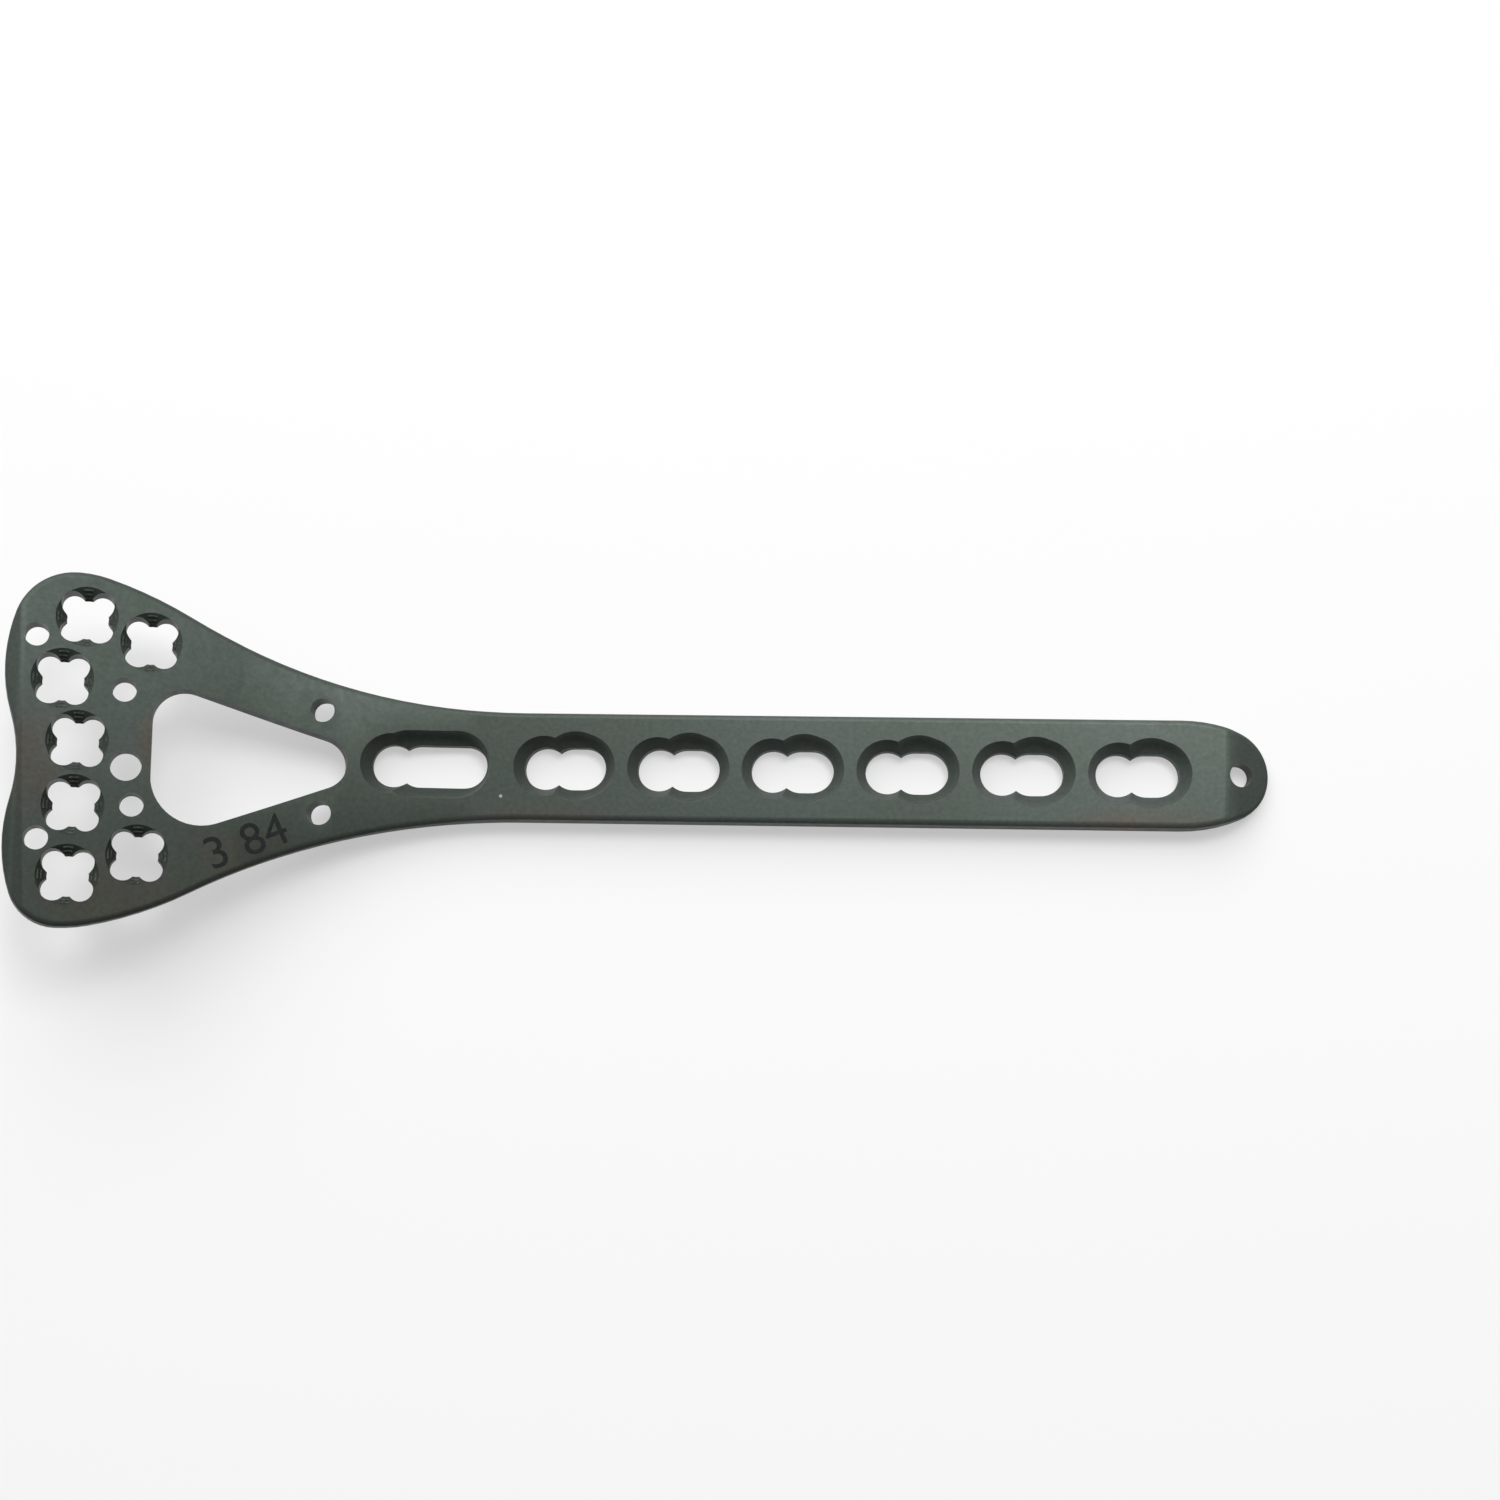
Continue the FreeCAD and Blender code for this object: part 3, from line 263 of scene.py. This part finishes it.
def mottledMaterial(name, finish):
    material, tree = newMaterial(name)
    place = addNode(tree, "ShaderNodeTexCoord", (-1000, 0)).outputs["Object"]
    mottle = addNode(tree, "ShaderNodeTexNoise", (-800, 0),
                     {"Scale": 1.0 / mm(finish["grainSize"]), "Detail": 2.0}, {"Vector": place})
    mask = addNode(tree, "ShaderNodeMapRange", (-600, 0),
                   {"From Min": finish["grainRange"][0], "From Max": finish["grainRange"][1]},
                   {"Value": mottle.outputs["Fac"]})
    colour = addNode(tree, "ShaderNodeMix", (-400, 0),
                     {"data_type": "RGBA", 6: srgb(finish["dark"]), 7: srgb(finish["pale"])},
                     {0: mask.outputs["Result"]})
    shader = addNode(tree, "ShaderNodeBsdfPrincipled", (0, 0),
                     {"Metallic": finish["metallic"], "Roughness": finish["roughness"],
                      "Specular IOR Level": finish["specular"]}, {"Base Color": colour.outputs[2]})
    addNode(tree, "ShaderNodeOutputMaterial", (300, 0), links={"Surface": shader.outputs["BSDF"]})
    return material


titanium = titaniumMaterial(plateFinish)
# The thread's colour: the mill's mottle, darkened partly as painted shade in the holes.
milledPaintedShade = mottledMaterial("titanium_anodised_milled_painted_shade", threadFinishAndShade)
mark = mottledMaterial("titanium_laser_mark", markFinish)
print("stage: materials")


# Side profile of the plate, as the solid has it: the thickness of shaft and head, how many degrees the
# head rises, where the bend starts, and the bend's radius underneath and on top.
plateProfile = dict(shaft=2.5, head=2.15, rise=20.5, bendStart=-1.0, underRadius=54.25, topRadius=53.0)


def workedProfile(sizes):
    # The bends' centres, where the top of the head starts, and where the middle of the head passes
    # nearest to the origin, each as x and z.
    sine, cosine = math.sin(math.radians(sizes["rise"])), math.cos(math.radians(sizes["rise"]))
    underX, underZ = sizes["bendStart"], sizes["underRadius"]
    headUnder = underX * sine + underZ * cosine - sizes["underRadius"]
    topZ = sizes["shaft"] + sizes["topRadius"]
    topX = (headUnder + sizes["head"] + sizes["topRadius"] - topZ * cosine) / sine
    middle = headUnder + sizes["head"] / 2.0
    return dict(sizes, underCentre=(underX, underZ), topCentre=(topX, topZ),
                headStart=(topX - sizes["topRadius"] * sine, topZ - sizes["topRadius"] * cosine),
                headMiddle=(middle * sine, middle * cosine))


profile = workedProfile(plateProfile)


# The plate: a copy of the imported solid, joined up and given the normals of the true surfaces.
plateSkin = dict(
    tangent=17.0,  # degrees up to which two faces run into each other with no crease
    flat=0.3,  # degrees by which a patch may stray and still be flat
    near=0.02,  # millimetres within which points of two patches meet
    bendFit=0.02, bendPoints=9,  # how near a bend's radius a patch of it lies, and its fewest points
)


def patchesOf(mesh):
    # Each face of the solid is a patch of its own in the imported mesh. This gives each point its patch.
    parent = list(range(len(mesh.vertices)))

    def root(i):
        while parent[i] != i:
            parent[i] = parent[parent[i]]
            i = parent[i]
        return i

    for polygon in mesh.polygons:
        first = root(polygon.vertices[0])
        for i in polygon.vertices[1:]:
            parent[root(i)] = first
    return [root(i) for i in range(len(parent))]


def patchFacing(mesh, patchOf):
    # The way each patch faces, weighted by area, and its area.
    facing, area = {}, {}
    for polygon in mesh.polygons:
        patch = patchOf[polygon.vertices[0]]
        facing[patch] = facing.get(patch, Vector()) + polygon.normal * polygon.area
        area[patch] = area.get(patch, 0.0) + polygon.area
    return facing, area


def surfaceNormals(mesh, settings, patchOf, facing, flat):
    # A flat patch has one normal, and on a bend each points to or from the bend's axis.
    normals = [item.vector.copy() for item in mesh.vertex_normals]
    bends = ((profile["underCentre"], profile["underRadius"], -1),
             (profile["topCentre"], profile["topRadius"], 1))
    members = {patch: [] for patch in facing}
    for i, patch in enumerate(patchOf):
        if patch in members:
            members[patch].append(i)
    for patch, group in members.items():
        if patch in flat:
            for i in group:
                normals[i] = facing[patch].normalized()
        elif len(group) >= settings["bendPoints"]:
            places = [mesh.vertices[i].co for i in group]
            for (x, z), radius, side in bends:
                rays = [Vector((mm(x) - place.x, 0.0, mm(z) - place.z)) for place in places]
                if max(abs(ray.length - mm(radius)) for ray in rays) < mm(settings["bendFit"]):
                    for i, ray in zip(group, rays):
                        normals[i] = ray.normalized() * side
    return normals


def joinedNormals(mesh, settings, normals, patchOf, area, flat):
    # Where two faces run into each other without a crease they share one normal, and a flat face's
    # goes before any other.
    cells = {}
    for i, vertex in enumerate(mesh.vertices):
        cells.setdefault(tuple(round(c / mm(settings["near"])) for c in vertex.co), []).append(i)
    smooth = math.cos(math.radians(settings["tangent"]))
    joined = list(normals)
    for group in cells.values():
        for i in group:
            close = [j for j in group if normals[i].dot(normals[j]) > smooth]
            plain = [j for j in close if patchOf[j] in flat]
            if plain:
                joined[i] = normals[max(plain, key=lambda j: area[patchOf[j]])]
            else:
                joined[i] = sum((normals[j] for j in close), Vector()).normalized()
    return joined


def refinedPlate(settings):
    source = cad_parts["bone_plate"]
    mesh = source.data.copy()
    mesh.name = "plate_skin"
    mesh.transform(source.matrix_world)
    mesh.polygons.foreach_set("use_smooth", [True] * len(mesh.polygons))
    patchOf = patchesOf(mesh)
    facing, area = patchFacing(mesh, patchOf)
    level = math.cos(math.radians(settings["flat"]))
    flat = {patch for patch in facing if facing[patch].length > level * area[patch]}
    normals = surfaceNormals(mesh, settings, patchOf, facing, flat)
    normals = joinedNormals(mesh, settings, normals, patchOf, area, flat)
    # The normals ride on the corners while the patches are merged into one closed mesh.
    layer = mesh.attributes.new("true_normal", "FLOAT_VECTOR", "CORNER")
    for loop in mesh.loops:
        layer.data[loop.index].vector = normals[loop.vertex_index]
    work = bmesh.new()
    work.from_mesh(mesh)
    bmesh.ops.remove_doubles(work, verts=work.verts, dist=weldGap)
    work.to_mesh(mesh)
    work.free()
    kept = [tuple(item.vector) for item in mesh.attributes["true_normal"].data]
    mesh.normals_split_custom_set(kept)
    mesh.attributes.remove(mesh.attributes["true_normal"])
    mesh.materials.clear()
    mesh.materials.append(titanium)
    print("stage: plate", len(mesh.polygons), "faces,", len(facing), "patches,", len(flat), "flat")
    return addObject("plate_skin", mesh)


plate = refinedPlate(plateSkin)
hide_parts("bone_plate")
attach(plate, "root")


# Thread of the locking holes: short ridges up the four columns of each hole and on into its recess.
# The real thread is finer, and is drawn coarser so that it shows.
threadShape = dict(
    # How far back and how far out each hole stands on the plane that all seven are drilled square to.
    holes=((32.66, 10.07), (27.74, 8.44), (34.21, 5.15), (32.85, 0.43), (32.89, -4.55),
           (27.93, -8.15), (33.00, -9.92)),
    lean=15.5, core=1.67, recessDepth=0.82, recessAngle=40.0,
    columns=4, ridge=0.085, sweep=20.0, pitch=0.32, arcSteps=6, roundSteps=6,
    # Two courses stand in the recess, which is square to the head, and four in the hole below it.
    inRecess=dict(first=0.24, count=2), inHole=dict(first=0.93, count=4),
)


def threadTree(shape):
    tree = bpy.data.node_groups.new("locking_thread", "GeometryNodeTree")
    for name, kind in (("Geometry", "Geometry"), ("Core Radius", "Float"), ("Ridge", "Float"),
                       ("Sweep", "Float"), ("Columns", "Int"), ("Column Turn", "Float"),
                       ("Pitch", "Float"), ("First", "Float"), ("Count", "Int"),
                       ("Recess Depth", "Float"), ("Recess Slope", "Float"), ("Lean", "Float")):
        tree.interface.new_socket(name=name, in_out="INPUT", socket_type="NodeSocket" + kind)
    tree.interface.new_socket(name="Geometry", in_out="OUTPUT", socket_type="NodeSocketGeometry")
    given = addNode(tree, "NodeGroupInput", (-1600, 0)).outputs
    # One ridge is a short arc about the hole's axis, with a small rounded section.
    halfBack = addNode(tree, "ShaderNodeMath", (-1400, 400), {"operation": "MULTIPLY", 1: -0.5},
                       {0: given["Sweep"]})
    arc = addNode(tree, "GeometryNodeCurveArc", (-1200, 400), {"Resolution": shape["arcSteps"]},
                  {"Radius": given["Core Radius"], "Start Angle": halfBack.outputs[0],
                   "Sweep Angle": given["Sweep"]})
    section = addNode(tree, "GeometryNodeCurvePrimitiveCircle", (-1200, 200),
                      {"Resolution": shape["roundSteps"]}, {"Radius": given["Ridge"]})
    ridge = addNode(tree, "GeometryNodeCurveToMesh", (-1000, 400), {"Fill Caps": True},
                    {"Curve": arc.outputs["Curve"], "Profile Curve": section.outputs["Curve"]})
    # One ridge on each column makes a course.
    index = addNode(tree, "GeometryNodeInputIndex", (-1400, 0)).outputs[0]
    heading = addNode(tree, "ShaderNodeMath", (-1200, 0), {"operation": "MULTIPLY"},
                      {0: index, 1: given["Column Turn"]})
    turn = addNode(tree, "ShaderNodeCombineXYZ", (-1000, 0), links={"Z": heading.outputs[0]})
    spokes = addNode(tree, "GeometryNodePoints", (-1000, 200), links={"Count": given["Columns"]})
    course = addNode(tree, "GeometryNodeInstanceOnPoints", (-800, 300),
                     links={"Points": spokes.outputs[0], "Instance": ridge.outputs["Mesh"],
                            "Rotation": turn.outputs[0]})
    # Courses go down the hole by the pitch, and those in the recess stand as wide as its cone.
    steps = addNode(tree, "ShaderNodeMath", (-1200, -200), {"operation": "MULTIPLY"},
                    {0: index, 1: given["Pitch"]})
    depth = addNode(tree, "ShaderNodeMath", (-1000, -200), {"operation": "ADD"},
                    {0: steps.outputs[0], 1: given["First"]})
    down = addNode(tree, "ShaderNodeMath", (-800, -100), {"operation": "MULTIPLY", 1: -1.0},
                   {0: depth.outputs[0]})
    spot = addNode(tree, "ShaderNodeCombineXYZ", (-600, -100), links={"Z": down.outputs[0]})
    levels = addNode(tree, "GeometryNodePoints", (-400, 0),
                     links={"Count": given["Count"], "Position": spot.outputs[0]})
    above = addNode(tree, "ShaderNodeMath", (-800, -300), {"operation": "SUBTRACT"},
                    {0: given["Recess Depth"], 1: depth.outputs[0]})
    inCone = addNode(tree, "ShaderNodeMath", (-600, -300), {"operation": "MAXIMUM", 1: 0.0},
                     {0: above.outputs[0]})
    wider = addNode(tree, "ShaderNodeMath", (-400, -300), {"operation": "MULTIPLY"},
                    {0: inCone.outputs[0], 1: given["Recess Slope"]})
    share = addNode(tree, "ShaderNodeMath", (-200, -300), {"operation": "DIVIDE"},
                    {0: wider.outputs[0], 1: given["Core Radius"]})
    grow = addNode(tree, "ShaderNodeMath", (0, -300), {"operation": "ADD", 1: 1.0}, {0: share.outputs[0]})
    size = addNode(tree, "ShaderNodeCombineXYZ", (200, -300), {"Z": 1.0},
                   {"X": grow.outputs[0], "Y": grow.outputs[0]})
    thread = addNode(tree, "GeometryNodeInstanceOnPoints", (400, 100),
                     links={"Points": levels.outputs[0], "Instance": course.outputs[0],
                            "Scale": size.outputs[0]})
    # The same courses stand at each hole, leant as its recess or its wall is.
    leant = addNode(tree, "ShaderNodeCombineXYZ", (400, -200), links={"Y": given["Lean"]})
    threads = addNode(tree, "GeometryNodeInstanceOnPoints", (600, 0),
                      links={"Points": given["Geometry"], "Instance": thread.outputs[0],
                             "Rotation": leant.outputs[0]})
    real = addNode(tree, "GeometryNodeRealizeInstances", (800, 0), links={0: threads.outputs[0]})
    # The ridges take the thread's colour, which is partly painted shade.
    skin = addNode(tree, "GeometryNodeSetMaterial", (1000, 0), {"Material": milledPaintedShade},
                   {"Geometry": real.outputs[0]})
    addNode(tree, "NodeGroupOutput", (1200, 0), links={"Geometry": skin.outputs[0]})
    return tree


def holeTops(shape):
    # Where the axis of each hole comes out of the top of the head.
    sine, cosine = math.sin(math.radians(shape["lean"])), math.cos(math.radians(shape["lean"]))
    slope = math.tan(math.radians(profile["rise"]))
    planeX, planeZ = profile["headMiddle"]
    headX, headZ = profile["headStart"]
    points = []
    for back, out in shape["holes"]:
        x, z = planeX - back * cosine, planeZ + back * sine
        climb = (headZ + (headX - x) * slope - z) / (cosine + sine * slope)
        points.append((mm(x + climb * sine), mm(out), mm(z + climb * cosine)))
    return points


def lockingThread(shape):
    points = holeTops(shape)
    tree = threadTree(shape)
    parts = []
    for lean, course in ((profile["rise"], shape["inRecess"]), (shape["lean"], shape["inHole"])):
        host = bpy.data.meshes.new("hole_points")
        host.from_pydata(points, [], [])
        carrier = addObject("thread_carrier", host)
        modifier = carrier.modifiers.new("thread", "NODES")
        modifier.node_group = tree
        values = {"Core Radius": mm(shape["core"]), "Ridge": mm(shape["ridge"]),
                  "Sweep": math.radians(shape["sweep"]), "Columns": shape["columns"],
                  "Column Turn": 2.0 * math.pi / shape["columns"], "Pitch": mm(shape["pitch"]),
                  "First": mm(course["first"]), "Count": course["count"],
                  "Recess Depth": mm(shape["recessDepth"]),
                  "Recess Slope": math.tan(math.radians(shape["recessAngle"])),
                  "Lean": math.radians(lean)}
        for item in tree.interface.items_tree:
            if item.in_out == "INPUT" and item.name in values:
                modifier[item.identifier] = values[item.name]
        parts.append(evaluatedMesh(carrier))
    mesh = weldedMesh("locking_thread", parts)
    mesh.materials.append(milledPaintedShade)
    print("stage: thread", len(points), "holes,", len(mesh.polygons), "faces")
    return addObject("locking_thread", mesh)


thread = lockingThread(threadShape)
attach(thread, "root")


# Size number, marked by laser on the near flank of the neck: plain figures only. A capital's height is
# capShare of the font's size.
numberMark = dict(text="3 84", height=2.5, capShare=0.7, thick=0.012, curveSteps=4,
                  x=-19.2, y=-6.75, turn=25.0)


def topHeight(x):
    # How high the top of the plate lies over a place along it, in millimetres.
    headX, headZ = profile["headStart"]
    bendX, bendZ = profile["topCentre"]
    if x < headX:
        return headZ + (headX - x) * math.tan(math.radians(profile["rise"]))
    if x < bendX:
        return bendZ - math.sqrt(profile["topRadius"] ** 2 - (x - bendX) ** 2)
    return profile["shaft"]


def sizeNumber(shape):
    figures = bpy.data.curves.new("size_number", "FONT")
    figures.body = shape["text"]
    figures.size = shape["height"] / shape["capShare"]
    figures.align_x = "CENTER"
    figures.align_y = "CENTER"
    figures.extrude = shape["thick"]
    figures.resolution_u = shape["curveSteps"]
    flat = evaluatedMesh(addObject("size_number_text", figures))
    cosine, sine = math.cos(math.radians(shape["turn"])), math.sin(math.radians(shape["turn"]))
    for vertex in flat.vertices:
        x = shape["x"] + vertex.co.x * cosine - vertex.co.y * sine
        y = shape["y"] + vertex.co.x * sine + vertex.co.y * cosine
        vertex.co = (mm(x), mm(y), mm(topHeight(x) + vertex.co.z))
    mesh = weldedMesh("size_number", [flat])
    mesh.materials.append(mark)
    print("stage: size number", len(mesh.polygons), "faces")
    return addObject("size_number", mesh)


number = sizeNumber(numberMark)
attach(number, "root")


def seenRays(tree, path):
    # One where the camera sees the surface, straight or by way of metal or glass, and otherwise nought.
    seen = path.outputs["Is Camera Ray"]
    for step, ray in enumerate(("Is Glossy Ray", "Is Transmission Ray")):
        seen = addNode(tree, "ShaderNodeMath", (200 * step - 600, -100), {"operation": "MAXIMUM"},
                       {0: seen, 1: path.outputs[ray]}).outputs["Value"]
    return seen


# Table: plain, white and matt. It throws little light back up, and its own white keeps the shadow faint.
tableTop = dict(half=600.0, level=-0.02, white="#f6f6f6", bounce="#4c4c4c", lit=0.5, paper=0.97)


def addTable(settings):
    mesh = bpy.data.meshes.new("table")
    half, z = mm(settings["half"]), mm(settings["level"])
    corners = [(-half, -half, z), (half, -half, z), (half, half, z), (-half, half, z)]
    mesh.from_pydata(corners, [], [(0, 1, 2, 3)])
    table = addObject("table", mesh)
    material, tree = newMaterial("table_white_matt")
    path = addNode(tree, "ShaderNodeLightPath", (-800, 0))
    colour = addNode(tree, "ShaderNodeMix", (-400, 200),
                     {"data_type": "RGBA", 6: srgb(settings["white"]), 7: srgb(settings["bounce"])},
                     {0: path.outputs["Is Diffuse Ray"]})
    matt = addNode(tree, "ShaderNodeBsdfDiffuse", (-200, 200), links={"Color": colour.outputs[2]})
    glow = addNode(tree, "ShaderNodeEmission", (-200, 0),
                   {"Color": (1.0, 1.0, 1.0, 1.0), "Strength": settings["paper"]})
    part = addNode(tree, "ShaderNodeMath", (-200, -200), {"operation": "MULTIPLY", 1: settings["lit"]},
                   {0: seenRays(tree, path)})
    both = addNode(tree, "ShaderNodeMixShader", (0, 100),
                   links={0: part.outputs[0], 1: matt.outputs["BSDF"], 2: glow.outputs["Emission"]})
    addNode(tree, "ShaderNodeOutputMaterial", (200, 100), links={"Surface": both.outputs["Shader"]})
    mesh.materials.append(material)


addTable(tableTop)


# Light: a large soft box over the far side, a smaller one high over the tip, and a dim even sky.
# Places and sizes are in metres.
studioLight = dict(
    key=dict(place=(-0.12, 0.46, 0.46), aim=(0.0, 0.0, 0.0), size=0.70, power=5.2),
    top=dict(place=(0.136, 0.19, 0.50), aim=(0.05, 0.0, 0.0), size=0.20, power=1.25),
    sky=0.08, backdrop=0.95,
)


def addLamp(name, settings):
    data = bpy.data.lights.new(name, "AREA")
    data.shape = "SQUARE"
    data.size = settings["size"]
    data.energy = settings["power"]
    lamp = addObject(name, data)
    place = Vector(settings["place"])
    lamp.location = place
    lamp.rotation_euler = (Vector(settings["aim"]) - place).to_track_quat("-Z", "Y").to_euler()


def addWorld(settings):
    # The object is lit by the dim sky, and the camera sees the backdrop's white.
    world = bpy.data.worlds.new("studio")
    scene.world = world
    world.use_nodes = True
    tree = world.node_tree
    tree.nodes.clear()
    path = addNode(tree, "ShaderNodeLightPath", (-800, 0))
    level = addNode(tree, "ShaderNodeMapRange", (-200, 0),
                    {"To Min": settings["sky"], "To Max": settings["backdrop"]},
                    {"Value": seenRays(tree, path)})
    sky = addNode(tree, "ShaderNodeBackground", (0, 0), {"Color": (1.0, 1.0, 1.0, 1.0)},
                  {"Strength": level.outputs["Result"]})
    addNode(tree, "ShaderNodeOutputWorld", (200, 0), links={"Surface": sky.outputs["Background"]})


addLamp("key", studioLight["key"])
addLamp("top", studioLight["top"])
addWorld(studioLight)

# Camera: nearly overhead, leant a little towards the near edge and the tip. Sizes are in millimetres,
# the clipping in metres, and the focal length and frame in pixels.
cameraView = dict(place=(30.402, -28.710, 197.349), target=(19.4529, 1.8415, 0.0), roll=1.1685,
                  sensor=36.0, focal=2518.5, frame=1500.0, clip=(0.01, 10.0))


def addCamera(view):
    data = bpy.data.cameras.new("camera")
    data.sensor_width = view["sensor"]
    data.sensor_fit = "HORIZONTAL"
    data.lens = view["sensor"] * view["focal"] / view["frame"]
    data.clip_start, data.clip_end = view["clip"]
    camera = addObject("camera", data)
    place = Vector(view["place"]) / 1000.0
    back = (place - Vector(view["target"]) / 1000.0).normalized()
    side = Vector((0.0, 1.0, 0.0)).cross(back).normalized()
    up = back.cross(side)
    turn = math.radians(view["roll"])
    right = side * math.cos(turn) + up * math.sin(turn)
    above = up * math.cos(turn) - side * math.sin(turn)
    camera.matrix_world = Matrix((
        (right.x, above.x, back.x, place.x),
        (right.y, above.y, back.y, place.y),
        (right.z, above.z, back.z, place.z),
        (0.0, 0.0, 0.0, 1.0)))
    scene.camera = camera


addCamera(cameraView)
scene.view_settings.view_transform = "Standard"
print("stage: light and camera")
